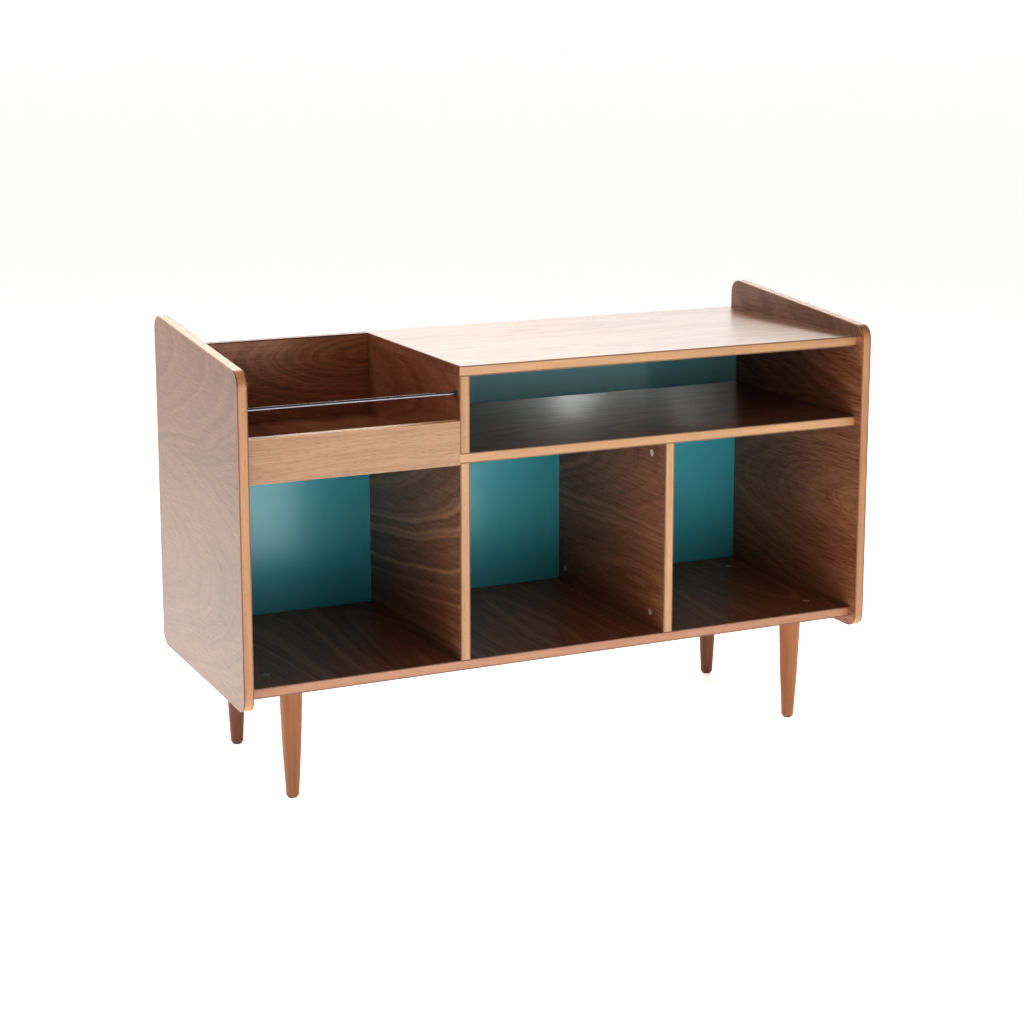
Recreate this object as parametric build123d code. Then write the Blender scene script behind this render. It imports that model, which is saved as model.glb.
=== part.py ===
from build123d import *
import os

# TV stand with an open record bin. Lengths are in millimetres.
# X runs along the width, Y from front to back, Z up from the floor.

# Overall size and board stock
stand_width = 1200.0
stand_depth = 460.0
board = 18.0
banding = 2.0
rounding = 0.8

# Heights
leg_height = 200.0
lower_bay_height = 342.0
upper_bay_height = 130.0
side_drop = 18.0
side_rise_front = 19.0
side_rise_rear = 57.0
side_corner = 25.0

# Depth positions
shelf_setback = 20.0
back_inset = 6.0

# Record bin
bin_front_height = 75.0
bin_front_drop = 2.0
rod_radius = 3.0
rod_above_floor = 100.0
rod_behind_front = 18.0
socket_radius = 5.0
socket_depth = 8.0
socket_flange = 7.0
socket_flange_thickness = 1.5
running_gap = 0.08
rod_end_gap = 0.5

# Legs
leg_inset_x = 108.0
leg_inset_y = 80.0
leg_top_radius = 20.0
leg_middle_radius = 16.4
leg_foot_radius = 11.3
leg_foot_round = 2.5
glide_thickness = 3.0
glide_radius = 8.5
glide_pin_radius = 1.5
glide_pin_length = 14.0
stud_radius = 4.0
stud_in_leg = 36.0
stud_in_panel = 11.0
insert_radius = 6.0
insert_length = 12.0
insert_flange = 9.0
insert_flange_thickness = 1.2

# Fasteners between the boards
hole_gap = 0.1
lead_in = 1.0
cam_bore_gap = 0.4
cam_radius = 6.0
cam_depth = 12.5
cam_reach_divider = 25.0
cam_reach_end = 50.0
cam_slot_width = 1.6
cam_slot_depth = 2.0
bolt_thread_radius = 3.0
bolt_thread_length = 11.0
bolt_shank_radius = 3.4
bolt_neck_radius = 2.2
bolt_head_radius = 3.2
bolt_head_length = 2.5
bolt_neck_length = 3.0
dowel_radius = 4.0
dowel_in_face = 12.0
dowel_in_edge = 18.0
dowel_end_gap = 0.5
screw_radius = 2.2
screw_length = 45.0
screw_head_radius = 4.5
screw_head_height = 3.0
screw_tip = 4.0
screw_slot_width = 0.9
screw_slot_depth = 1.5

# Where the fasteners stand along a joint, from its front edge and from its rear edge
end_cam_inset = 67.0
end_dowel_inset = 115.0
divider_cam_front = 50.0
divider_cam_rear = 26.0
divider_dowel_inset = 120.0
upper_cam_inset = 60.0
upper_dowel_inset = 150.0
floor_cam_inset = 90.0
floor_dowel_inset = 185.0
bin_front_dowel_height = 28.0
bin_back_dowels = 30.0, 100.0
upper_back_dowels = 50.0, 80.0
lower_back_dowel_inset = 40.0
back_screw_share = 0.29

# Directions
LEFT, RIGHT = Vector(-1, 0, 0), Vector(1, 0, 0)
FRONT, BACK = Vector(0, -1, 0), Vector(0, 1, 0)
DOWN, UP = Vector(0, 0, -1), Vector(0, 0, 1)

# Positions that several pieces share
side_out = stand_width / 2
side_in = side_out - board
bay_width = (2 * side_in - 2 * board) / 3
left_div_x0 = -side_in + bay_width
left_div_x1 = left_div_x0 + board
mid_div_x0 = left_div_x1 + bay_width
mid_div_x1 = mid_div_x0 + board
side_front = -stand_depth / 2
side_rear = stand_depth / 2
shelf_front = side_front + shelf_setback
back_rear = side_rear - back_inset
back_front = back_rear - board
bottom_z0 = leg_height
bottom_z1 = bottom_z0 + board
mid_z0 = bottom_z1 + lower_bay_height
mid_z1 = mid_z0 + board
top_z0 = mid_z1 + upper_bay_height
top_z1 = top_z0 + board
bin_front_z0 = mid_z0 - bin_front_drop
bin_front_z1 = bin_front_z0 + bin_front_height
bin_front_rear = shelf_front + board
rod_y = shelf_front + rod_behind_front
rod_z = mid_z1 + rod_above_floor
half = board / 2
back_mid = back_front + half
bin_middle = (left_div_x0 - side_in) / 2

parts = {}
cuts = {}
cams = []
short_bolts = []
long_bolts = []
dowels = []
screws = []


# Basic shapes
def block(x0, x1, y0, y1, z0, z1):
    return Pos(x0, y0, z0) * Box(x1 - x0, y1 - y0, z1 - z0, align=(Align.MIN,) * 3)


def pin(start, way, length, radius):
    ends = (Align.CENTER, Align.CENTER, Align.MIN)
    return Plane(origin=start, z_dir=way) * Cylinder(radius, length, align=ends)


def turned(outline, start, way):
    face = make_face(Polyline(*outline, close=True))
    return Plane(origin=start, z_dir=way) * revolve(Plane.XZ * face, Axis.Z)


def cut(name, tool):
    cuts.setdefault(name, []).append(tool)


def stations(front, rear=None):
    return shelf_front + front, back_front - (front if rear is None else rear)


def soften(strip, axis, group_axis, place):
    edges = strip.edges().filter_by(axis).group_by(group_axis)[place]
    return fillet(edges, rounding)


# Side panels, with the top edge falling towards the front and a band right round the outline
def side_outline():
    corners = [
        (side_front, bottom_z0 - side_drop),
        (side_rear, bottom_z0 - side_drop),
        (side_rear, top_z1 + side_rise_rear),
        (side_front, top_z1 + side_rise_front),
    ]
    sheet = make_face(Polyline(*corners, close=True))
    return fillet(sheet.vertices(), side_corner)


def make_side(name, x0):
    plane = Plane(origin=(x0, 0, 0), x_dir=(0, 1, 0), z_dir=(1, 0, 0))
    outline = side_outline()
    core = offset(outline, -banding)
    whole = extrude(plane * outline, board)
    rims = whole.faces().filter_by(Axis.X)
    whole = fillet(rims[0].edges() + rims[1].edges(), rounding)
    panel = extrude(plane * core, board)
    parts[name + "_panel"] = panel
    parts[name + "_edging"] = whole - panel


# Flat boards, each with a solid strip along the edge that shows
def make_shelf(name, x0, x1, z0, y0=None):
    y0 = shelf_front + banding if y0 is None else y0
    parts[name] = block(x0, x1, y0, side_rear, z0, z0 + board)


def front_strip(name, x0, x1, z0, z1):
    strip = block(x0, x1, shelf_front, shelf_front + banding, z0, z1)
    along = Axis.X if x1 - x0 > z1 - z0 else Axis.Z
    parts[name] = soften(strip, along, Axis.Y, 0)


def make_shelves():
    make_shelf("bottom_panel", -side_in, side_in, bottom_z0)
    front_strip("bottom_edging", -side_in, side_in, bottom_z0, bottom_z1)
    make_shelf("mid_shelf", left_div_x0, side_in, mid_z0)
    front_strip("mid_shelf_edging", left_div_x0, side_in, mid_z0, mid_z1)
    make_shelf("top_panel", left_div_x0 + banding, side_in, top_z0)
    front_strip("top_edging", left_div_x0, side_in, top_z0, top_z1)
    end = block(left_div_x0, left_div_x0 + banding, shelf_front + banding, side_rear, top_z0, top_z1)
    parts["top_end_edging"] = soften(end, Axis.Y, Axis.Z, -1)


def make_dividers():
    lower = (left_div_x0, left_div_x1), (mid_div_x0, mid_div_x1)
    for name, (x0, x1) in zip(("left_divider", "centre_divider"), lower):
        parts[name] = block(x0, x1, shelf_front + banding, back_front, bottom_z1, mid_z0)
        front_strip(name + "_edging", x0, x1, bottom_z1, mid_z0)
    x0, x1 = lower[0]
    parts["upper_divider"] = block(x0, x1, shelf_front + banding, side_rear, mid_z1, top_z0)
    front_strip("upper_divider_edging", x0, x1, mid_z1, top_z0)


def make_bin():
    x0, x1 = -side_in, left_div_x0
    parts["bin_floor"] = block(x0, x1, bin_front_rear, side_rear, mid_z0, mid_z1)
    low, high = bin_front_z1 - banding, bin_front_z1
    parts["bin_front"] = block(x0, x1, shelf_front, bin_front_rear, bin_front_z0, low)
    strip = block(x0, x1, shelf_front, bin_front_rear, low, high)
    parts["bin_front_edging"] = soften(strip, Axis.X, Axis.Z, -1)
    low = top_z1 - banding
    parts["bin_back"] = block(x0, x1, back_front, back_rear, mid_z1, low)
    strip = block(x0, x1, back_front, back_rear, low, top_z1)
    parts["bin_back_edging"] = soften(strip, Axis.X, Axis.Z, -1)


def make_backs():
    parts["lower_back"] = block(-side_in, side_in, back_front, back_rear, bottom_z1, mid_z0)
    parts["upper_back"] = block(left_div_x1, side_in, back_front, back_rear, mid_z1, top_z0)


# Record rod, free to turn in two sockets let into the wood
def make_rod():
    reach = socket_depth - socket_flange_thickness - rod_end_gap
    start = (-side_in - reach, rod_y, rod_z)
    length = (left_div_x0 + reach) - (-side_in - reach)
    rod = pin(start, RIGHT, length, rod_radius)
    parts["record_rod"] = chamfer(rod.edges(), rod_end_gap)
    for name, owner, x, way in (
        ("rod_socket_left", "left_side_panel", -side_in, LEFT),
        ("rod_socket_right", "upper_divider", left_div_x0, RIGHT),
    ):
        mouth = Vector(x, rod_y, rod_z)
        lip = mouth - way * socket_flange_thickness
        floor = socket_depth - socket_flange_thickness
        bore = rod_radius + running_gap
        outline = [
            (bore, 0),
            (socket_flange - rod_end_gap, 0),
            (socket_flange, rod_end_gap),
            (socket_flange, socket_flange_thickness),
            (socket_radius, socket_flange_thickness),
            (socket_radius, socket_flange_thickness + socket_depth),
            (0, socket_flange_thickness + socket_depth),
            (0, socket_flange_thickness + floor),
            (bore, socket_flange_thickness + floor),
        ]
        parts[name] = turned(outline, lip, way)
        cut(owner, pin(mouth, way, socket_depth + hole_gap, socket_radius + hole_gap))


# Turned legs, each on a threaded stud and with a glide under its foot
def leg_outline():
    foot, top = glide_thickness, leg_height
    middle = (foot + top) / 2
    inner = leg_foot_radius - leg_foot_round
    low = (leg_foot_radius, foot + leg_foot_round)
    high = (leg_top_radius, top - lead_in)
    flank = ThreePointArc(low, (leg_middle_radius, middle), high)
    rest = Polyline(high, (leg_top_radius - lead_in, top), (0, top), (0, foot), (inner, foot))
    bend = leg_foot_round * (1 - 0.5**0.5)
    toe = ThreePointArc((inner, foot), (leg_foot_radius - bend, foot + bend), low)
    return make_face(flank + rest + toe)


def make_legs():
    leg_x, leg_y = side_out - leg_inset_x, side_rear - leg_inset_y
    shape = revolve(Plane.XZ * leg_outline(), Axis.Z)
    shape -= pin((0, 0, leg_height), DOWN, stud_in_leg + lead_in, stud_radius + hole_gap)
    shape -= pin((0, 0, glide_thickness), UP, glide_pin_length + hole_gap, glide_pin_radius + hole_gap)
    glide = pin((0, 0, 0), UP, glide_thickness, glide_radius)
    glide = fillet(glide.edges().group_by(Axis.Z)[0], glide_thickness / 2)
    glide += pin((0, 0, glide_thickness), UP, glide_pin_length, glide_pin_radius)
    studs, inserts = [], []
    for row, y in (("front", -leg_y), ("rear", leg_y)):
        for column, x in (("left", -leg_x), ("right", leg_x)):
            parts[f"leg_{row}_{column}"] = Pos(x, y, 0) * shape
            parts[f"glide_{row}_{column}"] = Pos(x, y, 0) * glide
            stud = pin((x, y, leg_height - stud_in_leg), UP, stud_in_leg + stud_in_panel, stud_radius)
            studs.append(chamfer(stud.edges(), lead_in))
            inserts.append(leg_insert(x, y))
    parts["leg_studs"] = studs
    parts["leg_inserts"] = inserts


def leg_insert(x, y):
    base = Vector(x, y, bottom_z0)
    flange, barrel = insert_flange, insert_radius
    bore = stud_radius + hole_gap
    outline = [
        (bore, 0),
        (flange, 0),
        (flange, insert_flange_thickness),
        (barrel, insert_flange_thickness),
        (barrel, insert_length),
        (bore, insert_length),
    ]
    cut("bottom_panel", pin(base, UP, insert_flange_thickness + hole_gap, flange + hole_gap))
    cut("bottom_panel", pin(base, UP, insert_length + hole_gap, barrel + hole_gap))
    return turned(outline, base, UP)


# A cam turned in one board pulls on a bolt screwed into the other board
def cam_joint(board_a, board_b, at, face, toward, reach):
    at = Vector(*at)
    centre = at - face * half
    hole = pin(at, face * -1, cam_depth + hole_gap, cam_radius + hole_gap)
    cut(board_a, hole)
    cut(board_a, pin(centre, toward, reach, bolt_shank_radius + hole_gap))
    joint = centre + toward * reach
    cut(board_b, pin(joint, toward, bolt_thread_length + hole_gap, bolt_thread_radius + hole_gap))
    cams.append(cam_nut(at, face, toward))
    bolts = long_bolts if reach == cam_reach_end else short_bolts
    bolts.append(cam_bolt(joint, toward, reach))


def cam_nut(at, face, toward):
    body = pin(at, face * -1, cam_depth, cam_radius)
    across = Plane(origin=at, x_dir=toward, z_dir=face)
    for slot in ((cam_radius * 1.3, cam_slot_width), (cam_slot_width, cam_radius * 1.3)):
        body -= across * Box(slot[0], slot[1], 2 * cam_slot_depth)
    centre = at - face * half
    body -= pin(centre, toward, 2 * cam_radius, bolt_neck_radius + cam_bore_gap)
    pocket = bolt_head_radius + cam_bore_gap
    return body - pin(centre - toward * pocket, toward, 2 * pocket, pocket)


def cam_bolt(joint, toward, reach):
    tail = reach - cam_radius - cam_bore_gap
    neck = tail + bolt_neck_length + cam_bore_gap
    outline = [
        (0, -bolt_thread_length),
        (bolt_thread_radius - lead_in, -bolt_thread_length),
        (bolt_thread_radius, -bolt_thread_length + lead_in),
        (bolt_thread_radius, 0),
        (bolt_shank_radius, 0),
        (bolt_shank_radius, tail),
        (bolt_neck_radius, tail),
        (bolt_neck_radius, neck),
        (bolt_head_radius, neck),
        (bolt_head_radius, neck + bolt_head_length),
        (0, neck + bolt_head_length),
    ]
    return turned(outline, joint, toward * -1)


def dowel_joint(board_a, board_b, at, toward, in_a=dowel_in_edge, in_b=dowel_in_face):
    at = Vector(*at)
    for name, way, depth in ((board_a, toward * -1, in_a), (board_b, toward, in_b)):
        cut(name, pin(at, way, depth + dowel_end_gap, dowel_radius + hole_gap))
    peg = pin(at - toward * in_a, toward, in_a + in_b, dowel_radius)
    dowels.append(chamfer(peg.edges(), lead_in))


def back_screw(x, z, board_b):
    head = Vector(x, back_rear, z)
    slope = screw_head_radius - screw_radius
    outline = [
        (0, 0),
        (screw_head_radius, 0),
        (screw_head_radius, screw_head_height - slope),
        (screw_radius, screw_head_height),
        (screw_radius, screw_length - screw_tip),
        (0, screw_length),
    ]
    body = turned(outline, head, FRONT)
    for size in ((screw_head_radius, screw_slot_width), (screw_slot_width, screw_head_radius)):
        body -= Pos(x, back_rear, z) * Box(size[0], 2 * screw_slot_depth, size[1])
    screws.append(body)
    sink = pin(head, FRONT, screw_head_height + hole_gap, screw_head_radius + hole_gap)
    cut("lower_back", sink)
    cut("lower_back", pin(head, FRONT, board, screw_radius + hole_gap))
    way_in = Vector(x, back_front, z)
    cut(board_b, pin(way_in, FRONT, screw_length - board + lead_in, screw_radius + hole_gap))


# Every joint of the case
def join_ends():
    rows = [
        ("bottom_panel", "left_side_panel", -side_in, bottom_z1, UP, LEFT),
        ("bottom_panel", "right_side_panel", side_in, bottom_z1, UP, RIGHT),
        ("bin_floor", "left_side_panel", -side_in, mid_z0, DOWN, LEFT),
        ("mid_shelf", "right_side_panel", side_in, mid_z0, DOWN, RIGHT),
        ("top_panel", "right_side_panel", side_in, top_z0, DOWN, RIGHT),
    ]
    for shelf, side, x, z, face, toward in rows:
        middle = z - face.Z * half
        for y in stations(end_cam_inset):
            at = (x - toward.X * cam_reach_end, y, z)
            cam_joint(shelf, side, at, face, toward, cam_reach_end)
        for y in stations(end_dowel_inset):
            dowel_joint(shelf, side, (x, y, middle), toward)


def join_dividers():
    left_x, mid_x = left_div_x0 + half, mid_div_x0 + half
    lower = bottom_z1, mid_z0, "bottom_panel", "mid_shelf"
    upper = mid_z1, top_z0, "mid_shelf", "top_panel"
    lower_ys = stations(divider_cam_front, divider_cam_rear), stations(divider_dowel_inset)
    upper_ys = stations(upper_cam_inset), stations(upper_dowel_inset)
    rows = [
        ("left_divider", left_div_x1, left_x, RIGHT, lower, lower_ys),
        ("centre_divider", mid_div_x0, mid_x, LEFT, lower, lower_ys),
        ("upper_divider", left_div_x1, left_x, RIGHT, upper, upper_ys),
    ]
    for name, face_x, x, face, (low, high, below, above), (cam_ys, dowel_ys) in rows:
        reach = cam_reach_divider
        for y in cam_ys:
            cam_joint(name, below, (face_x, y, low + reach), face, DOWN, reach)
            cam_joint(name, above, (face_x, y, high - reach), face, UP, reach)
        for y in dowel_ys:
            dowel_joint(name, below, (x, y, low), DOWN)
            dowel_joint(name, above, (x, y, high), UP)


def join_bin():
    middle = mid_z0 + half
    for y in stations(floor_cam_inset):
        at = (left_div_x0 - cam_reach_divider, y, mid_z0)
        cam_joint("bin_floor", "mid_shelf", at, DOWN, RIGHT, cam_reach_divider)
    for y in stations(floor_dowel_inset):
        dowel_joint("bin_floor", "mid_shelf", (left_div_x0, y, middle), RIGHT)
    for x in (bin_middle - bay_width / 3, bin_middle, bin_middle + bay_width / 3):
        dowel_joint("bin_floor", "bin_front", (x, bin_front_rear, middle), FRONT)
    y = shelf_front + half
    z = mid_z1 + bin_front_dowel_height
    dowel_joint("bin_front", "left_side_panel", (-side_in, y, z), LEFT)
    dowel_joint("bin_front", "upper_divider", (left_div_x0, y, z), RIGHT)
    for z in [mid_z1 + rise for rise in bin_back_dowels]:
        dowel_joint("bin_back", "left_side_panel", (-side_in, back_mid, z), LEFT)
        dowel_joint("bin_back", "upper_divider", (left_div_x0, back_mid, z), RIGHT)
    for x in (bin_middle - bay_width / 4, bin_middle + bay_width / 4):
        dowel_joint("bin_back", "bin_floor", (x, back_mid, mid_z1), DOWN)


def join_backs():
    for z in (bottom_z1 + lower_back_dowel_inset, mid_z0 - lower_back_dowel_inset):
        dowel_joint("lower_back", "left_side_panel", (-side_in, back_mid, z), LEFT)
        dowel_joint("lower_back", "right_side_panel", (side_in, back_mid, z), RIGHT)
    for x in (bin_middle, 0, -bin_middle):
        dowel_joint("lower_back", "bottom_panel", (x, back_mid, bottom_z1), DOWN)
    for z in [mid_z1 + rise for rise in upper_back_dowels]:
        dowel_joint("upper_back", "upper_divider", (left_div_x1, back_mid, z), LEFT)
        dowel_joint("upper_back", "right_side_panel", (side_in, back_mid, z), RIGHT)
    for x in (0, -bin_middle):
        dowel_joint("upper_back", "mid_shelf", (x, back_mid, mid_z1), DOWN)
        dowel_joint("upper_back", "top_panel", (x, back_mid, top_z0), UP)
    middle = (bottom_z1 + mid_z0) / 2
    step = back_screw_share * lower_bay_height
    for z in (middle - step, middle, middle + step):
        back_screw(left_div_x0 + half, z, "left_divider")
        back_screw(mid_div_x0 + half, z, "centre_divider")


def save():
    os.makedirs("parts", exist_ok=True)
    for name, shape in parts.items():
        if isinstance(shape, list):
            shape = Compound(children=shape)
        elif name in cuts:
            shape = shape - cuts[name]
        export_step(shape, f"parts/{name}.step")


make_side("left_side", -side_out)
make_side("right_side", side_in)
make_shelves()
make_dividers()
make_bin()
make_backs()
make_rod()
make_legs()
join_ends()
join_dividers()
join_bin()
join_backs()
parts["cam_nuts"] = cams
parts["cam_bolts_short"] = short_bolts
parts["cam_bolts_long"] = long_bolts
parts["dowels"] = dowels
parts["back_screws"] = screws
save()
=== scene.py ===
# %% [markdown]
# # A TV stand with an open record bin
# This lesson dresses a finished model of a flat-pack stand: it gives each board its veneer, each
# edge its solid strip and each fitting its metal. It then sets up a pale studio and a camera.
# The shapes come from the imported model, which is loaded first and never changed.

# %% load the model
import math

import bpy
from mathutils import Matrix, Vector


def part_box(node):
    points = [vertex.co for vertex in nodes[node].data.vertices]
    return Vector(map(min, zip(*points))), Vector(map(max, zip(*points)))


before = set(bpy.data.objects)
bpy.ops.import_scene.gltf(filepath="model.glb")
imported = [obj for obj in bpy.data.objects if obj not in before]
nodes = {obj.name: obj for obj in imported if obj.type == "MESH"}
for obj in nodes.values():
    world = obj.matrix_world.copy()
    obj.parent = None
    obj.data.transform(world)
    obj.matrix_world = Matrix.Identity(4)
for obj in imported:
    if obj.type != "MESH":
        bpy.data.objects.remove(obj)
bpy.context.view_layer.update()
print("pieces loaded:", len(nodes))

# %% [markdown]
# ## Small helpers for building materials
# A material is a tree of nodes. It could be drawn by hand in the shader editor, but the stand has
# eleven veneered boards, so the script draws each tree from one recipe. `put` adds one node and
# fills its inputs in order: a number or colour is typed into the input, and another node's output
# is linked to it.


# %% nodes and sums
def put(tree, kind, *inputs, **settings):
    node = tree.nodes.new("ShaderNode" + kind)
    for name, value in settings.items():
        setattr(node, name, value)
    for socket, value in zip(node.inputs, inputs):
        if isinstance(value, bpy.types.NodeSocket):
            tree.links.new(value, socket)
        elif value is not None:
            socket.default_value = value
    return node


def math_node(tree, operation, *inputs, clamp=False):
    return put(tree, "Math", *inputs, operation=operation, use_clamp=clamp).outputs[0]


def centred(tree, value, amount, start=0.0):
    """A random value between 0 and 1 becomes one that swings round the start."""
    return math_node(tree, "MULTIPLY_ADD", math_node(tree, "SUBTRACT", value, 0.5), amount, start)


print("helpers for nodes:", [helper.__name__ for helper in (put, math_node, centred)])


# %% colours
def opaque(colour):
    return (*colour, 1)


def darker(colour, share):
    return tuple(c * share for c in colour)


def mix_colour(tree, share, a, b):
    """A colour mixer has inputs for other kinds too; the ones for colours are 6 and 7."""
    node = tree.nodes.new("ShaderNodeMix")
    node.data_type = "RGBA"
    for index, value in ((0, share), (6, a), (7, b)):
        if isinstance(value, bpy.types.NodeSocket):
            tree.links.new(value, node.inputs[index])
        else:
            node.inputs[index].default_value = value
    return node.outputs[2]


def grey_ramp(tree, value, stops):
    """Each stop is a place between 0 and 1, and the brightness there."""
    node = put(tree, "ValToRGB", value)
    elements = node.color_ramp.elements
    while len(elements) < len(stops):
        elements.new(0.5)
    for element, (place, brightness) in zip(elements, stops):
        element.position = place
        element.color = (brightness, brightness, brightness, 1)
    return node.outputs[0]


print("helpers for colour:", [helper.__name__ for helper in (opaque, darker, mix_colour, grey_ramp)])


# %% places and noise
def own_place(tree):
    """The piece's own coordinates, in metres."""
    return tree.nodes.new("ShaderNodeTexCoord").outputs["Object"]


def moved(tree, place, offset):
    return put(tree, "VectorMath", place, offset, operation="ADD").outputs[0]


def noise(tree, place, waves, detail=2.0, roughness=0.5):
    """Noise between 0 and 1, with about so many waves to the metre along each axis."""
    spread = put(tree, "VectorMath", place, waves, operation="MULTIPLY").outputs[0]
    node = tree.nodes.new("ShaderNodeTexNoise")
    tree.links.new(spread, node.inputs["Vector"])
    for name, value in (("Scale", 1.0), ("Detail", detail), ("Roughness", roughness)):
        node.inputs[name].default_value = value
    return node.outputs["Fac"]


print("helpers for patterns:", [helper.__name__ for helper in (own_place, moved, noise)])


# %% materials and their inputs
WOOD_AND_LACQUER_IOR = 1.5


def new_material(name):
    material = bpy.data.materials.new(name)
    material.use_nodes = True
    tree = material.node_tree
    tree.nodes.clear()
    surface = put(tree, "BsdfPrincipled")
    put(tree, "OutputMaterial", surface.outputs[0])
    return material, tree, surface


def set_inputs(surface, **values):
    for name, value in values.items():
        surface.inputs[name.replace("_", " ")].default_value = value


def link(tree, value, surface, name):
    tree.links.new(value, surface.inputs[name])


def add_bump(tree, surface, height, distance, strength):
    bump = tree.nodes.new("ShaderNodeBump")
    bump.inputs["Strength"].default_value = strength
    bump.inputs["Distance"].default_value = distance
    tree.links.new(height, bump.inputs["Height"])
    tree.links.new(bump.outputs[0], surface.inputs["Normal"])


print("helpers for materials:", [h.__name__ for h in (new_material, set_inputs, link, add_bump)])

# %% [markdown]
# ## How wood figure is made
# Veneer is a thin sheet cut along a trunk, and a board carries a few such leaves side by side. A
# tree is a stack of cones, so the cut crosses the growth rings in long pointed arches. A picture
# of wood would show them, but it would repeat from board to board. The group below does the same
# sum as the saw instead. Each leaf has a heart, the place where the cut passes closest to the
# middle of the trunk, and the rings follow from how far a point lies from that middle.

# %% open the figure group
FIGURE_INPUTS = (("Leaf width", 0.38), ("Leaf start", 0.0), ("Heart", 0.0), ("Heart step", 0.3),
                 ("Slope", 0.3), ("Ring spacing", 0.012), ("Wander", 0.03), ("Seed", 0.0))
FIGURE_OUTPUTS = ("Rings", "Streaks", "Fibre", "Pores", "Cloud")

figure_group = bpy.data.node_groups.new("veneer_figure", "ShaderNodeTree")
face = figure_group.interface
face.new_socket("Place", in_out="INPUT", socket_type="NodeSocketVector")
for name, value in FIGURE_INPUTS:
    face.new_socket(name, in_out="INPUT", socket_type="NodeSocketFloat").default_value = value
for name in FIGURE_OUTPUTS:
    face.new_socket(name, in_out="OUTPUT", socket_type="NodeSocketFloat")
given = figure_group.nodes.new("NodeGroupInput").outputs
print("sockets of the figure group:", [socket.name for socket in face.items_tree])


# %% find the leaf and its heart
def find_leaf(group, given):
    """Which leaf a point is in, and how far it is from that leaf's middle line and its heart."""
    parts = put(group, "SeparateXYZ", given["Place"]).outputs
    along, across = parts[0], parts[1]
    from_start = math_node(group, "SUBTRACT", across, given["Leaf start"])
    number = math_node(group, "DIVIDE", from_start, given["Leaf width"])
    leaf = math_node(group, "FLOOR", number)
    from_middle = math_node(group, "SUBTRACT", math_node(group, "FRACT", number), 0.5)
    from_middle = math_node(group, "MULTIPLY", from_middle, given["Leaf width"])
    heart = math_node(group, "MULTIPLY_ADD", leaf, given["Heart step"], given["Heart"])
    from_heart = math_node(group, "SUBTRACT", along, heart)
    return leaf, from_middle, from_heart


leaf, from_middle, from_heart = find_leaf(figure_group, given)
print("nodes after the leaves:", len(figure_group.nodes))

# %% every leaf has random values of its own
LEAF_SHIFT = 3.7


def leaf_own_place(group, given, leaf):
    """Each leaf looks up its noise in another place, so no two leaves are alike."""
    seed = given["Seed"]
    leaf_shift = math_node(group, "MULTIPLY_ADD", leaf, LEAF_SHIFT, seed)
    return moved(group, given["Place"], put(group, "CombineXYZ", seed, seed, leaf_shift).outputs[0])


here = leaf_own_place(figure_group, given, leaf)
print("metres of noise between two leaves:", LEAF_SHIFT)

# %% how far a point lies from the middle of the trunk
BEND_WAVES = (3.0, 8.0, 8.0)
RIPPLE_WAVES = (14.0, 42.0, 14.0)
RIPPLE_DEPTH = 0.007


def far_from_middle(group, given, here, from_middle, from_heart):
    """The trunk bends a little on its way up, and its bark side ripples."""
    bend = noise(group, here, BEND_WAVES)
    ripple = noise(group, here, RIPPLE_WAVES)
    wander = math_node(group, "MULTIPLY", centred(group, bend, 1.0), given["Wander"])
    side = math_node(group, "ADD", from_middle, wander)
    depth = math_node(group, "MULTIPLY", from_heart, given["Slope"])
    squares = math_node(group, "MULTIPLY_ADD", side, side, math_node(group, "MULTIPLY", depth, depth))
    return centred(group, ripple, RIPPLE_DEPTH, math_node(group, "SQRT", squares))


far = far_from_middle(figure_group, given, here, from_middle, from_heart)
print("ripple of the rings in millimetres:", round(RIPPLE_DEPTH * 1000, 1))

# %% good and bad summers
YEARS_BETWEEN_LEAVES = 9.3
RING_SHADES = ((0.28, 0.0), (0.5, 0.42), (0.62, 1.0), (0.72, 0.6))
STREAK_SHADES = ((0.52, 0.0), (0.64, 1.0), (0.7, 0.5))


def summers(group, years, scale, detail, roughness):
    """A row of random summers: noise along one line, looked up at a count of years."""
    node = group.nodes.new("ShaderNodeTexNoise")
    node.noise_dimensions = "1D"
    for name, value in (("Scale", scale), ("Detail", detail), ("Roughness", roughness)):
        node.inputs[name].default_value = value
    group.links.new(years, node.inputs["W"])
    return node.outputs["Fac"]


def rings_and_streaks(group, given, leaf, far):
    """Single years make the dark rings, and runs of good years make the pale streaks."""
    years = math_node(group, "DIVIDE", far, given["Ring spacing"])
    years = math_node(group, "MULTIPLY_ADD", leaf, YEARS_BETWEEN_LEAVES, years)
    single = summers(group, math_node(group, "ADD", years, given["Seed"]), 1.0, 3.0, 0.6)
    runs = summers(group, math_node(group, "SUBTRACT", years, given["Seed"]), 0.4, 2.0, 0.5)
    return grey_ramp(group, single, RING_SHADES), grey_ramp(group, runs, STREAK_SHADES)


rings, streaks = rings_and_streaks(figure_group, given, leaf, far)
print("nodes after the rings:", len(figure_group.nodes))

# %% fibres, pores and clouds
FIBRE_WAVES = (16.0, 460.0, 460.0)
PORE_WAVES = (60.0, 900.0, 900.0)
CLOUD_WAVES = (2.0, 6.5, 6.5)
PORE_SHADES = ((0.60, 0.0), (0.72, 1.0))

fibre = noise(figure_group, here, FIBRE_WAVES, 4.0, 0.75)
pores = grey_ramp(figure_group, noise(figure_group, here, PORE_WAVES, 1.0), PORE_SHADES)
cloud = noise(figure_group, here, CLOUD_WAVES, 3.0)
end = figure_group.nodes.new("NodeGroupOutput").inputs
for name, value in zip(FIGURE_OUTPUTS, (rings, streaks, fibre, pores, cloud)):
    figure_group.links.new(value, end[name])
print("nodes in the finished figure group:", len(figure_group.nodes))

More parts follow.
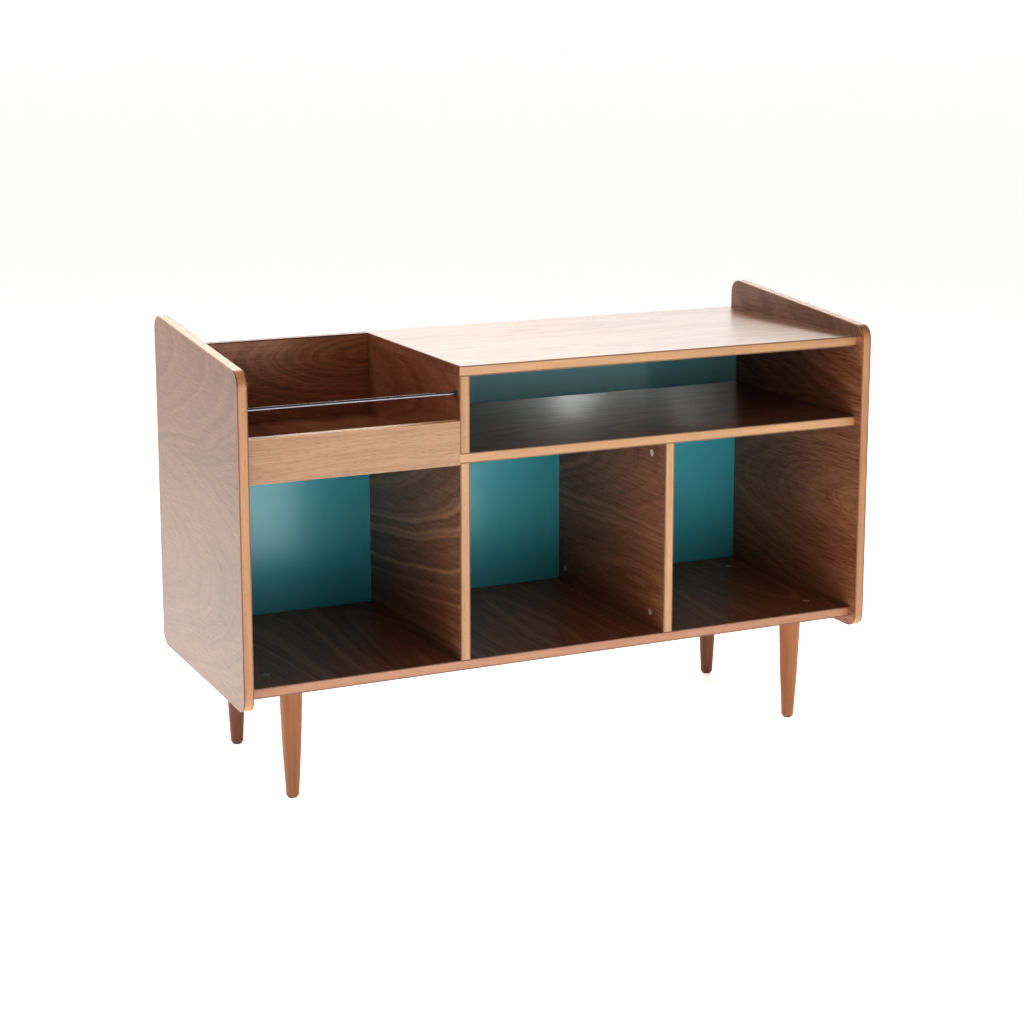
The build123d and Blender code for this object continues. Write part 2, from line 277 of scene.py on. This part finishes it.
# %% [markdown]
# ## The veneer material
# The boards lie several ways round, so a material first turns the board's own coordinates until the
# first one runs along the grain and the second one across it. That keeps one recipe for every
# board. Dark late wood, pale streaks, fibres and pores then share out the colour. The lacquer is
# a thin coat, and the fibres telegraph through it as faint waves.

# %% turn the coordinates along the grain
GRAIN = {"X": (0, 1, 2), "Y": (1, 2, 0), "Z": (2, 0, 1), "XZ": (0, 2, 1), "YX": (1, 0, 2)}


def grain_place(tree, grain, offset=(0.0, 0.0, 0.0)):
    parts = put(tree, "SeparateXYZ", own_place(tree)).outputs
    turned = put(tree, "CombineXYZ", *(parts[i] for i in GRAIN[grain])).outputs[0]
    return moved(tree, turned, offset)


print("ways that the grain can run:", list(GRAIN))

# %% painted shade on outer faces and above the top
PAINTED_SHADE_COLOUR = (0.01, 0.004, 0.002)
right_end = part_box("right_side_panel")[1][0]
above_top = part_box("top_panel")[1][2]
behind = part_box("bin_back")[1][1]

# each zone is an axis, the place where it starts on that axis, and its share of painted shade
RIGHT_SIDE_OUTSIDE = (0, right_end - 0.001, 0.6)
# the right side above the top gets painted shade as well
RIGHT_SIDE_ABOVE_TOP = (2, above_top + 0.0005, 0.5)
BIN_BACK_OUTSIDE = (1, behind - 0.001, 0.7)
PAINT_OUTSIDE = (1, behind - 0.0005, 0.75)


def painted_shade_on_faces(tree, colour, *zones):
    """Painted shade: inner faces are toned up for the dim bays, and that tone would glare in full light.
    """
    places = put(tree, "SeparateXYZ", own_place(tree)).outputs
    past = 0.0
    for axis, limit, share in zones:
        inside_zone = math_node(tree, "GREATER_THAN", places[axis], limit)
        past = math_node(tree, "MAXIMUM", math_node(tree, "MULTIPLY", inside_zone, share), past)
    return mix_colour(tree, past, colour, opaque(PAINTED_SHADE_COLOUR))


print("outer faces start at:", [round(v, 4) for v in (right_end, above_top, behind)])

# %% the recipe for a veneer
AVERAGE_SHARE = 0.42
PORE_DEPTH = 0.4
PORE_STRENGTH = 0.5


def veneer_colour(tree, out, tone, contrast, streak, fine):
    """Rings, fibres and clouds share pale and dark wood; streaks and pores go on top."""
    pale, dark, bright = tone
    share = math_node(tree, "MULTIPLY_ADD", out["Rings"], contrast, AVERAGE_SHARE - 0.5 * contrast)
    share = centred(tree, out["Fibre"], fine, share)
    share = centred(tree, out["Cloud"], 1.0, share)
    share = math_node(tree, "ADD", share, 0.0, clamp=True)
    colour = mix_colour(tree, share, opaque(pale), opaque(dark))
    streaks = math_node(tree, "MULTIPLY", out["Streaks"], streak)
    colour = mix_colour(tree, streaks, colour, opaque(bright))
    pores = math_node(tree, "MULTIPLY", out["Pores"], PORE_STRENGTH)
    return mix_colour(tree, pores, colour, opaque(darker(dark, PORE_DEPTH)))


def veneer(name, grain, tone, contrast=0.5, streak=0.2, gloss=0.3, coat=(0.3, 0.2), fine=1.6,
           specular=0.5, outer=(), **figure):
    material, tree, surface = new_material(name)
    group = tree.nodes.new("ShaderNodeGroup")
    group.node_tree = figure_group
    tree.links.new(grain_place(tree, grain), group.inputs["Place"])
    for socket, value in figure.items():
        group.inputs[socket.replace("_", " ").capitalize()].default_value = value
    out = group.outputs
    colour = veneer_colour(tree, out, tone, contrast, streak, fine)
    # the outer zones get painted shade
    if outer:
        colour = painted_shade_on_faces(tree, colour, *outer)
    link(tree, colour, surface, "Base Color")
    link(tree, math_node(tree, "MULTIPLY_ADD", out["Fibre"], 0.16, gloss), surface, "Roughness")
    waves = math_node(tree, "MULTIPLY_ADD", out["Pores"], -0.6, out["Fibre"])
    add_bump(tree, surface, waves, distance=0.0002, strength=0.35)
    set_inputs(surface, Coat_Weight=coat[0], Coat_Roughness=coat[1], Specular_IOR_Level=specular,
               IOR=WOOD_AND_LACQUER_IOR)
    return material


print("sockets that a board may set:", [name for name, value in FIGURE_INPUTS])

# %% [markdown]
# ## The boards' veneers
# A real stand is pressed from one parcel of walnut, and each board shows another part of the tree.
# So the boards share the recipe, and each has its own tone, leaf width, heart and seed. The tones
# also paint light and shade: the bays' boards, the bin's back and the top are paler as painted
# light, and the bin's inside and the left side are darker as painted shade. A tone is a pale, a
# dark and a bright colour.

# %% walnut tones
WALNUT_SHELF = ((0.340, 0.185, 0.110), (0.140, 0.065, 0.035), (0.45, 0.25, 0.15))
# the bin's floor and wall are toned deep: painted shade inside the bin
WALNUT_DEEP = ((0.215, 0.085, 0.045), (0.085, 0.028, 0.014), (0.3, 0.14, 0.075))
# the bays' walls and floor are toned paler: painted light for the dim bays
WALNUT_WALL = ((0.410, 0.187, 0.100), (0.160, 0.060, 0.030), (0.56, 0.30, 0.16))
WALNUT_BAY = ((0.490, 0.212, 0.106), (0.200, 0.070, 0.032), (0.64, 0.33, 0.17))
# the bin's back is toned paler: painted light
WALNUT_BIN = ((0.600, 0.270, 0.140), (0.250, 0.090, 0.042), (0.64, 0.33, 0.17))
# the left side is toned darker: painted shade
WALNUT_SIDE = ((0.205, 0.100, 0.056), (0.085, 0.036, 0.019), (0.32, 0.165, 0.095))
# the top is toned paler: painted light
WALNUT_TOP = ((0.375, 0.205, 0.120), (0.215, 0.108, 0.060), (0.46, 0.27, 0.16))
WALNUT_FRONT = ((0.365, 0.207, 0.110), (0.245, 0.128, 0.064), (0.43, 0.26, 0.145))
print("palest walnut:", WALNUT_BIN[0], "deepest walnut:", WALNUT_DEEP[0])

# %% side panels
veneers = {}
veneers["left_side_panel"] = veneer(
    "walnut_side_left", "Y", WALNUT_SIDE, contrast=0.27, streak=0.15, coat=(0.4, 0.22), fine=1.4,
    leaf_width=0.38, leaf_start=0.175, heart=0.42, heart_step=0.12, slope=0.26,
    ring_spacing=0.009, wander=0.07, seed=3.1)
# the right side's inner face is toned as painted light for the bays, with painted shade outside and
# above the top
veneers["right_side_panel"] = veneer(
    "walnut_side_right", "Y", WALNUT_WALL, contrast=0.35, streak=0.3, fine=2.8,
    outer=(RIGHT_SIDE_OUTSIDE, RIGHT_SIDE_ABOVE_TOP),
    leaf_width=0.38, leaf_start=0.22, heart=-0.45, heart_step=-0.9, slope=0.2,
    ring_spacing=0.008, wander=0.06, seed=5.7)
print("veneers so far:", len(veneers))

# %% dividers
veneers["left_divider"] = veneer(
    "walnut_divider_left", "Y", WALNUT_WALL, contrast=0.3, streak=0.9, fine=2.6,
    leaf_width=0.62, leaf_start=0.28, heart=0.75, heart_step=0.9, slope=0.22,
    ring_spacing=0.009, wander=0.03, seed=9.4)
veneers["centre_divider"] = veneer(
    "walnut_divider_centre", "Y", WALNUT_WALL, contrast=0.35, streak=0.35, fine=2.8,
    leaf_width=0.24, leaf_start=0.17, heart=-0.1, heart_step=1.5, slope=0.14,
    ring_spacing=0.007, wander=0.03, seed=12.2)
veneers["upper_divider"] = veneer(
    "walnut_divider_upper", "Y", WALNUT_DEEP, contrast=0.45, streak=0.2,
    leaf_width=0.3, leaf_start=0.5, heart=1.2, slope=0.12, ring_spacing=0.010, seed=15.8)
print("veneers so far:", len(veneers))

# %% bottom, shelf and top
veneers["bottom_panel"] = veneer(
    "walnut_bottom", "YX", WALNUT_BAY, contrast=0.4, streak=0.4, specular=0.3,
    leaf_width=0.26, leaf_start=-0.65, heart=-0.3, heart_step=0.12, slope=0.16,
    ring_spacing=0.009, wander=0.05, seed=18.3)
veneers["mid_shelf"] = veneer(
    "walnut_shelf", "X", WALNUT_SHELF, contrast=0.45, streak=0.2, gloss=0.26, coat=(0.2, 0.1),
    specular=0.12, leaf_width=0.24, leaf_start=-0.25, heart=0.9, heart_step=-0.7, slope=0.12,
    ring_spacing=0.011, seed=21.9)
veneers["top_panel"] = veneer(
    "walnut_top", "X", WALNUT_TOP, contrast=0.55, streak=0.25, gloss=0.28, coat=(0.4, 0.2),
    fine=2.0, leaf_width=0.23, leaf_start=-0.23, heart=0.7, heart_step=-0.9, slope=0.1,
    ring_spacing=0.011, seed=24.4)
print("veneers so far:", len(veneers))

# %% record bin
veneers["bin_floor"] = veneer(
    "walnut_bin_floor", "YX", WALNUT_DEEP, contrast=0.5, streak=0.2,
    leaf_width=0.2, leaf_start=-0.6, heart=0.5, slope=0.15, ring_spacing=0.012, seed=27.5)
# the bin's back is toned as painted light, with painted shade on its outer face
veneers["bin_back"] = veneer(
    "walnut_bin_back", "XZ", WALNUT_BIN, contrast=0.45, streak=0.1, outer=(BIN_BACK_OUTSIDE,),
    leaf_width=0.28, leaf_start=0.555, heart=-0.2, slope=0.3, ring_spacing=0.007, wander=0.05,
    seed=31.7)
veneers["bin_front"] = veneer(
    "walnut_bin_front", "XZ", WALNUT_FRONT, contrast=0.25, streak=0.2, fine=1.8,
    leaf_width=0.2, leaf_start=0.62, heart=1.5, slope=0.03, ring_spacing=0.006, seed=33.3)
print("veneered boards:", sorted(veneers))

# %% [markdown]
# ## Solid strips and turned legs
# The edges of the boards are hidden by strips of pale, straight-grained solid wood with small
# dark flecks. A strip is glued on, so a thin dark line shows where it meets the veneer on either
# face. The line could be a groove in the shape, but it is far thinner than a groove would be, so
# it is drawn in the colour. The legs are one stained piece each, with the grain up and down, and
# the rear legs are toned darker as painted shade.

# %% glue lines beside a strip
SEAM_INSET = 0.0012
SEAM_WIDTH = 0.0016
SEAM_CORE = 0.4
SEAM_STRENGTH = 0.85


def seam_line(tree, axis, low, high):
    """Dark lines just inside the two faces beside a strip: 1 on the line and 0 off it."""
    across = put(tree, "SeparateXYZ", own_place(tree)).outputs[axis]
    from_low = math_node(tree, "SUBTRACT", across, low)
    from_high = math_node(tree, "SUBTRACT", high, across)
    near = math_node(tree, "MINIMUM", from_low, from_high)
    off = math_node(tree, "ABSOLUTE", math_node(tree, "SUBTRACT", near, SEAM_INSET))
    line = put(tree, "MapRange", off, SEAM_WIDTH * SEAM_CORE, SEAM_WIDTH, 1.0, 0.0).outputs[0]
    return math_node(tree, "MULTIPLY", line, SEAM_STRENGTH)


print("glue line in millimetres:", SEAM_WIDTH * 1000)

# %% the recipe for solid wood
STREAK_WAVES = (6.0, 160.0, 160.0)
BROAD_WAVES = (2.4, 16.0, 16.0)
FLECK_WAVES = (160.0, 520.0, 520.0)
FLECK_SHADES = ((0.67, 0.0), (0.74, 1.0))
FLECK_DEPTH = 0.4


def solid_wood(name, grain, pale, dark, seed, fleck=0.5, gloss=0.38, scale=1.0, seam=None):
    material, tree, surface = new_material(name)
    place = grain_place(tree, grain, (seed, seed * 1.7, seed * 2.3))
    streak = noise(tree, place, tuple(w * scale for w in STREAK_WAVES), 4.0, 0.6)
    broad = noise(tree, place, BROAD_WAVES, 3.0)
    flecks = grey_ramp(tree, noise(tree, place, FLECK_WAVES, 1.0), FLECK_SHADES)
    share = centred(tree, streak, 1.3, 0.4)
    share = math_node(tree, "ADD", centred(tree, broad, 1.2, share), 0.0, clamp=True)
    colour = mix_colour(tree, share, opaque(pale), opaque(dark))
    deep = opaque(darker(dark, FLECK_DEPTH))
    colour = mix_colour(tree, math_node(tree, "MULTIPLY", flecks, fleck), colour, deep)
    if seam:
        colour = mix_colour(tree, seam_line(tree, *seam), colour, deep)
    link(tree, colour, surface, "Base Color")
    link(tree, math_node(tree, "MULTIPLY_ADD", streak, 0.14, gloss), surface, "Roughness")
    fine_grain = math_node(tree, "MULTIPLY_ADD", flecks, -0.7, streak)
    add_bump(tree, surface, fine_grain, distance=0.0002, strength=0.4)
    set_inputs(surface, Coat_Weight=0.15, Coat_Roughness=0.25, IOR=WOOD_AND_LACQUER_IOR)
    return material


print("flecks to the metre, along and across:", FLECK_WAVES[:2])

# %% a material for each strip
STRIP = ((0.48, 0.29, 0.155), (0.33, 0.175, 0.085))
STRIP_BOTTOM = ((0.41, 0.22, 0.13), (0.29, 0.138, 0.076))
STRIP_SIDE = ((0.43, 0.235, 0.116), (0.31, 0.147, 0.066))
STRIP_SEED_START, STRIP_SEED_STEP = 0.7, 1.31


def strip_tone(name):
    if name.endswith("side_edging"):
        return STRIP_SIDE
    if name == "bottom_edging":
        return STRIP_BOTTOM
    if name in ("bin_back_edging", "top_end_edging"):
        return WALNUT_DEEP[:2]
    return STRIP


def strip_for(name, number):
    """A strip runs along X or Z, and its glue lines lie at the faces of its board."""
    upright = name.endswith("side_edging") or name.endswith("divider_edging")
    grain, axis = ("Z", 0) if upright else ("X", 2)
    low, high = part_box(name)
    seam = (axis, low[axis], high[axis])
    if name.startswith("bin_") or name == "top_end_edging":
        seam = None
    seed = STRIP_SEED_START + STRIP_SEED_STEP * number
    return solid_wood("strip_" + name, grain, *strip_tone(name), seed, seam=seam)


print("strips:", [name for name in sorted(nodes) if name.endswith("edging")])

# %% legs and dowels
LEG_FRONT = ((0.31, 0.125, 0.034), (0.165, 0.058, 0.014))
# the rear legs are toned darker than the front ones: painted shade
LEG_REAR_PAINTED_SHADE = ((0.19, 0.070, 0.026), (0.100, 0.033, 0.013))
BEECH = ((0.66, 0.47, 0.29), (0.5, 0.33, 0.19))

leg_front = solid_wood("leg_front", "Z", *LEG_FRONT, seed=7.7, fleck=0.3, gloss=0.33, scale=0.6)
leg_rear = solid_wood("leg_rear", "Z", *LEG_REAR_PAINTED_SHADE, seed=9.1, fleck=0.3, gloss=0.33, scale=0.6)
dowel_wood = solid_wood("dowel_beech", "X", *BEECH, seed=4.4)
print("leg and dowel materials:", [leg_front.name, leg_rear.name, dowel_wood.name])

# %% [markdown]
# ## Teal paint on the backs
# The back boards are sprayed with satin paint. A flat colour with one roughness would look like
# plastic, so the colour drifts a little over the board, the film has the fine peel of sprayed
# paint, and a clear coat over it carries the soft shine. The lower back has a wider shine than
# the upper one. Both teals carry painted light: the lower one is toned brighter for the dim bays
# and the upper one paler, while the rear faces get painted shade.

# %% teal paint
DRAWN_WAVES = (60.0, 60.0, 5.0)
PEEL_WAVES = (420.0, 420.0, 420.0)
DRIFT_WAVES = (3.0, 3.0, 1.4)


def satin_paint(name, colour, seed, coat_roughness, specular):
    material, tree, surface = new_material(name)
    place = moved(tree, own_place(tree), (seed, seed, seed))
    drawn = noise(tree, place, DRAWN_WAVES, 1.0, 0.4)
    peel = noise(tree, place, PEEL_WAVES)
    drift = noise(tree, place, DRIFT_WAVES)
    pale = tuple(min(1.0, c * 1.1) for c in colour)
    deep = darker(colour, 0.9)
    share = math_node(tree, "SUBTRACT", drawn, 0.5)
    share = math_node(tree, "MULTIPLY_ADD", share, 0.35, drift, clamp=True)
    painted = mix_colour(tree, share, opaque(deep), opaque(pale))
    # the rear face gets painted shade, so the teal toned for the bays does not glare in full light
    link(tree, painted_shade_on_faces(tree, painted, PAINT_OUTSIDE), surface, "Base Color")
    link(tree, math_node(tree, "MULTIPLY_ADD", drawn, 0.06, 0.27), surface, "Roughness")
    film = math_node(tree, "MULTIPLY_ADD", drawn, 0.1, peel)
    add_bump(tree, surface, film, distance=0.00005, strength=0.3)
    set_inputs(surface, Coat_Weight=0.9, Coat_Roughness=coat_roughness,
               Specular_IOR_Level=specular, IOR=WOOD_AND_LACQUER_IOR)
    return material


# the lower teal is toned bright and the upper teal pale: painted light
teal_lower = satin_paint("teal_paint_lower", (0.088, 0.50, 0.60), 0.7, coat_roughness=0.2, specular=0.3)
teal_upper = satin_paint("teal_paint_upper", (0.19, 0.60, 0.68), 1.9, coat_roughness=0.07, specular=0.35)
print("paints:", [teal_lower.name, teal_upper.name])

# %% [markdown]
# ## Metal and plastic fittings
# The rod across the bin is dark drawn steel, so its fine lines run along it. Cams, bolts and
# screws are zinc plated, which looks greyer and duller than bare metal, so their finish is only
# partly metallic. Glides and rod sockets are dark moulded plastic with a fine grain and some dust.

# %% metal
SPOT_WAVES = (45.0, 45.0, 45.0)
TARNISH = 0.25


def metal(name, colour, gloss, lines, metallic):
    material, tree, surface = new_material(name)
    place = own_place(tree)
    lined = noise(tree, place, lines)
    spots = noise(tree, place, SPOT_WAVES, 3.0)
    tarnished = opaque(darker(colour, 1 - TARNISH))
    link(tree, mix_colour(tree, spots, opaque(colour), tarnished), surface, "Base Color")
    link(tree, math_node(tree, "MULTIPLY_ADD", lined, 0.25, gloss), surface, "Roughness")
    add_bump(tree, surface, lined, distance=0.00005, strength=0.4)
    set_inputs(surface, Metallic=metallic)
    return material


rod_metal = metal("rod_steel", (0.23, 0.23, 0.245), 0.22, lines=(30.0, 2600.0, 2600.0), metallic=1.0)
zinc = metal("zinc_plated", (0.88, 0.84, 0.78), 0.34, lines=(900.0, 900.0, 900.0), metallic=0.35)
print("metals:", [rod_metal.name, zinc.name])

# %% moulded plastic
MOULD_WAVES = (1400.0, 1400.0, 1400.0)
DUST_WAVES = (60.0, 60.0, 60.0)


def moulded(name, colour):
    material, tree, surface = new_material(name)
    place = own_place(tree)
    grain = noise(tree, place, MOULD_WAVES)
    dust = math_node(tree, "MULTIPLY", noise(tree, place, DUST_WAVES, 3.0), 0.5)
    dusty = tuple(c * 1.8 + 0.01 for c in colour)
    link(tree, mix_colour(tree, dust, opaque(colour), opaque(dusty)), surface, "Base Color")
    link(tree, math_node(tree, "MULTIPLY_ADD", grain, 0.2, 0.42), surface, "Roughness")
    add_bump(tree, surface, grain, distance=0.00008, strength=0.5)
    return material


dark_plastic = moulded("dark_plastic", (0.028, 0.022, 0.018))
print("materials in the file:", len(bpy.data.materials))

# %% [markdown]
# ## Dressing the pieces
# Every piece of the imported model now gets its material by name. The strips take theirs from their
# place in the list of names, so that no two strips have the same grain.


# %% give out the materials
def material_for(name, number):
    if name in veneers:
        return veneers[name]
    if name == "lower_back":
        return teal_lower
    if name == "upper_back":
        return teal_upper
    if name.endswith("edging"):
        return strip_for(name, number)
    if name.startswith("leg_front"):
        return leg_front
    if name.startswith("leg_rear"):
        return leg_rear
    if name == "record_rod":
        return rod_metal
    if name.startswith("glide") or name.startswith("rod_socket"):
        return dark_plastic
    if name == "dowels":
        return dowel_wood
    return zinc


for number, (name, piece) in enumerate(sorted(nodes.items())):
    piece.data.materials.clear()
    piece.data.materials.append(material_for(name, number))
print("pieces dressed:", len(nodes))

# %% [markdown]
# ## The studio
# The stand was photographed in a white room with a bright floor. The room is a plain white
# background that gives less light from the camera's side and from the ceiling, because a light
# that is the same all round would leave no shade in the bays. The floor is one pale sheet that
# glows a little, so that it stays white where the stand shades it.

# %% floor
FLOOR_HALF = 60
FLOOR_GLOW = 0.4
FLOOR_DARK, FLOOR_PALE = (0.90, 0.898, 0.895), (0.92, 0.918, 0.915)
FLOOR_WAVES = (1.5, 1.5, 1.5)


def make_floor():
    far = FLOOR_HALF
    corners = [(-far, -far, 0), (far, -far, 0), (far, far, 0), (-far, far, 0)]
    mesh = bpy.data.meshes.new("floor")
    mesh.from_pydata(corners, [], [(0, 1, 2, 3)])
    floor = bpy.data.objects.new("floor", mesh)
    bpy.context.scene.collection.objects.link(floor)
    material, tree, surface = new_material("pale_floor")
    shade = noise(tree, own_place(tree), FLOOR_WAVES)
    link(tree, mix_colour(tree, shade, opaque(FLOOR_DARK), opaque(FLOOR_PALE)), surface, "Base Color")
    set_inputs(surface, Roughness=0.7, Emission_Color=(1, 1, 1, 1), Emission_Strength=FLOOR_GLOW)
    mesh.materials.append(material)
    return floor


floor = make_floor()
print("floor from side to side in metres:", 2 * FLOOR_HALF)

# %% room
ROOM_WHITE = (1.0, 0.995, 0.99)
ROOM_FRONT, ROOM_BACK = 0.35, 0.95
ROOM_CEILING = 0.25


def make_room():
    """The camera sees a white room, and the stand gets less light from the front and above."""
    world = bpy.data.worlds.new("white_room")
    bpy.context.scene.world = world
    world.use_nodes = True
    tree = world.node_tree
    tree.nodes.clear()
    way = tree.nodes.new("ShaderNodeTexCoord").outputs["Generated"]
    way = put(tree, "SeparateXYZ", way).outputs
    light = put(tree, "MapRange", way[1], -1.0, 0.1, ROOM_FRONT, ROOM_BACK).outputs[0]
    ceiling = put(tree, "MapRange", way[2], 0.15, 0.6, 1.0, ROOM_CEILING).outputs[0]
    light = math_node(tree, "MULTIPLY", light, ceiling)
    seen = tree.nodes.new("ShaderNodeLightPath").outputs["Is Camera Ray"]
    light = math_node(tree, "MAXIMUM", light, seen)
    sky = put(tree, "Background", opaque(ROOM_WHITE), light)
    put(tree, "OutputWorld", sky.outputs[0])
    return world


room = make_room()
print("room:", room.name, "with", len(room.node_tree.nodes), "nodes")

# %% [markdown]
# ## The lights
# A window behind the stand lights its top. Two lights fall on the floor, one in front and one on
# the left, and a floor that is bright there lights the bays and the left side from below, as
# sunshine on a floor does. The one in front is linked to the floor alone, because it would
# otherwise shine on the shelf too. A broad low light stands for the bright side of the room, and
# a weak one fills the bays without showing in their shine.


# %% lights on the floor and round the stand
def make_light(name, place, target, size, power, colour=(1, 1, 1)):
    """Places and sizes are in metres, the power is in watts."""
    light = bpy.data.lights.new(name, "AREA")
    light.shape = "RECTANGLE"
    light.size, light.size_y = size
    light.energy = power
    light.color = colour
    lamp = bpy.data.objects.new(name, light)
    lamp.location = place
    away = Vector(target) - Vector(place)
    lamp.rotation_euler = away.to_track_quat("-Z", "Y").to_euler()
    bpy.context.scene.collection.objects.link(lamp)
    lamp.visible_camera = False
    return lamp


def light_group(name, piece):
    group = bpy.data.collections.new(name)
    group.objects.link(piece)
    return group


make_light("back_light", place=(1.8, 3.5, 2.6), target=(0.2, 0.0, 0.7), size=(3.4, 1.0),
           power=56, colour=(1.0, 0.96, 0.92))
floor_front = make_light("floor_front", place=(0.15, -1.7, 1.5), target=(0.15, -1.65, 0.0),
                         size=(0.5, 0.7), power=60)
floor_front.light_linking.receiver_collection = light_group("floor_only", floor)
make_light("far_front", place=(1.1, -3.5, 0.1), target=(0.0, 0.0, 0.45), size=(1.8, 1.1),
           power=19, colour=(1.0, 0.97, 0.92))
bay_fill = make_light("bay_fill", place=(-0.9, -2.6, 0.15), target=(0.1, 0.0, 0.42),
                      size=(1.0, 0.5), power=3, colour=(1.0, 0.93, 0.86))
bay_fill.visible_glossy = False
make_light("floor_left", place=(-1.7, 0.4, 2.2), target=(-1.45, 0.4, 0.0), size=(0.8, 1.2), power=40)
print("lights round the stand:", len(bpy.data.lights))

# %% [markdown]
# ## Two soft patches on the upper back
# The upper back mirrors two tall bright strips of the room as soft patches. Two narrow lights
# give them. They are linked to the upper back alone and show only in its shine. The farther one
# would be hidden by the side panel, so only the top may cast its shadow.

# %% strips that show only in the shine
STRIP_SIZE = (0.1, 1.4)
STRIP_Y, STRIP_HEIGHT = -3.5, 1.42
STRIP_REACH = 1.9
STRIP_TARGET_Y, STRIP_TARGET_HEIGHT = 0.2, 0.62


def make_strip(name, x, power, receivers):
    place = (x, STRIP_Y, STRIP_HEIGHT)
    target = (x - STRIP_REACH, STRIP_TARGET_Y, STRIP_TARGET_HEIGHT)
    strip = make_light(name, place, target, STRIP_SIZE, power)
    strip.light_linking.receiver_collection = receivers
    strip.visible_diffuse = False
    return strip


painted_back = light_group("painted_back", nodes["upper_back"])
bay_covers = light_group("bay_covers", nodes["top_panel"])
make_strip("strip_near", 2.1, 95, painted_back)
strip_far = make_strip("strip_far", 2.56, 50, painted_back)
strip_far.light_linking.blocker_collection = bay_covers

# %% contrast of the picture
look = bpy.context.scene.view_settings
look.view_transform, look.look = "Standard", "High Contrast"
print("view transform and look:", look.view_transform, look.look)

# %% [markdown]
# ## The camera
# The photograph was taken from the front left, a little above the stand. The numbers below are
# the camera's place in millimetres, its turn and tilt in degrees, and its lens in pixels of a
# picture 1024 pixels wide. The lens is shifted a little, as on a view camera, so that the stand
# sits in the middle while the uprights stay nearly upright.

# %% camera
CAMERA_PLACE = (-1629.0, -3420.0, 1306.0)
CAMERA_TURN, CAMERA_TILT = 25.32, -10.54
CAMERA_PIXELS, CAMERA_SHIFT = 2142.0, -0.1
PICTURE_PIXELS = 1024
SENSOR_WIDTH = 36.0
FARTHEST_SEEN = 200


def make_camera():
    data = bpy.data.cameras.new("camera")
    data.sensor_width = SENSOR_WIDTH
    data.lens = CAMERA_PIXELS / PICTURE_PIXELS * data.sensor_width
    data.shift_y = CAMERA_SHIFT
    data.clip_end = FARTHEST_SEEN
    camera = bpy.data.objects.new("camera", data)
    bpy.context.scene.collection.objects.link(camera)
    turn, tilt = math.radians(CAMERA_TURN), math.radians(CAMERA_TILT)
    level = math.cos(tilt)
    ahead = Vector((math.sin(turn) * level, math.cos(turn) * level, math.sin(tilt)))
    right = Vector((math.cos(turn), -math.sin(turn), 0))
    up = right.cross(ahead)
    axes = Matrix((right, up, -ahead)).transposed()
    camera.matrix_world = Matrix.Translation(Vector(CAMERA_PLACE) / 1000) @ axes.to_4x4()
    bpy.context.scene.camera = camera
    return camera


camera = make_camera()
print("lens in millimetres:", round(camera.data.lens, 1))
